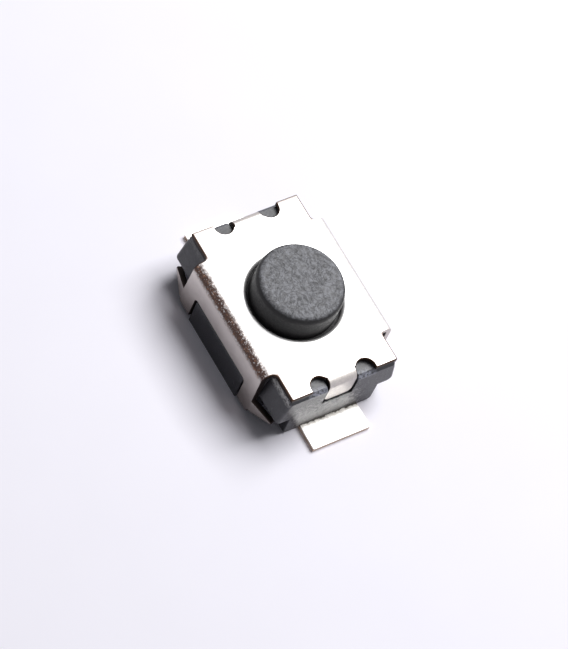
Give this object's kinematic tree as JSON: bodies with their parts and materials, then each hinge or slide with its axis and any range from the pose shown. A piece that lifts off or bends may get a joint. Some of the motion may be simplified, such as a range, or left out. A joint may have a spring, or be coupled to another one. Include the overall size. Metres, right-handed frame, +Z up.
{
  "type": "tactile push button switch",
  "caption": "Surface-mount tactile push button switch: folded plated cover, moulded housing, round button over a snap dome, solder tabs at both ends.",
  "frame": {"origin": "on the board plane, under the middle of the switch", "axes": "+X along the switch to one solder tab, +Y across it, +Z up out of the board, against the way the button is pressed"},
  "size_m": [0.0052, 0.003, 0.002],
  "materials": {
    "housing_plastic": "moulded, satin, near black",
    "plated_terminal": "stamped strip, bright silver plating",
    "dome_steel": "stamped spring strip",
    "film": "amber film",
    "button_plastic": "moulded, matte, dark grey, slightly mottled",
    "plated_cover": "stamped and folded sheet, bright plating, scuffed along the folds"
  },
  "bodies": {
    "base": {"housing": "housing_plastic", "terminal_front": "plated_terminal", "terminal_rear": "plated_terminal", "snap_dome": "dome_steel", "insulating_film": "film", "cover": "plated_cover"},
    "button": {"button": "button_plastic"}
  },
  "joints": [
    {"name": "press", "type": "slide", "parent": "base", "child": "button", "axis": [0, 0, -1], "range_m": [0, 0.00025], "stiffness_N_per_m": 8000, "deforming": ["snap_dome", "insulating_film"]}
  ]
}
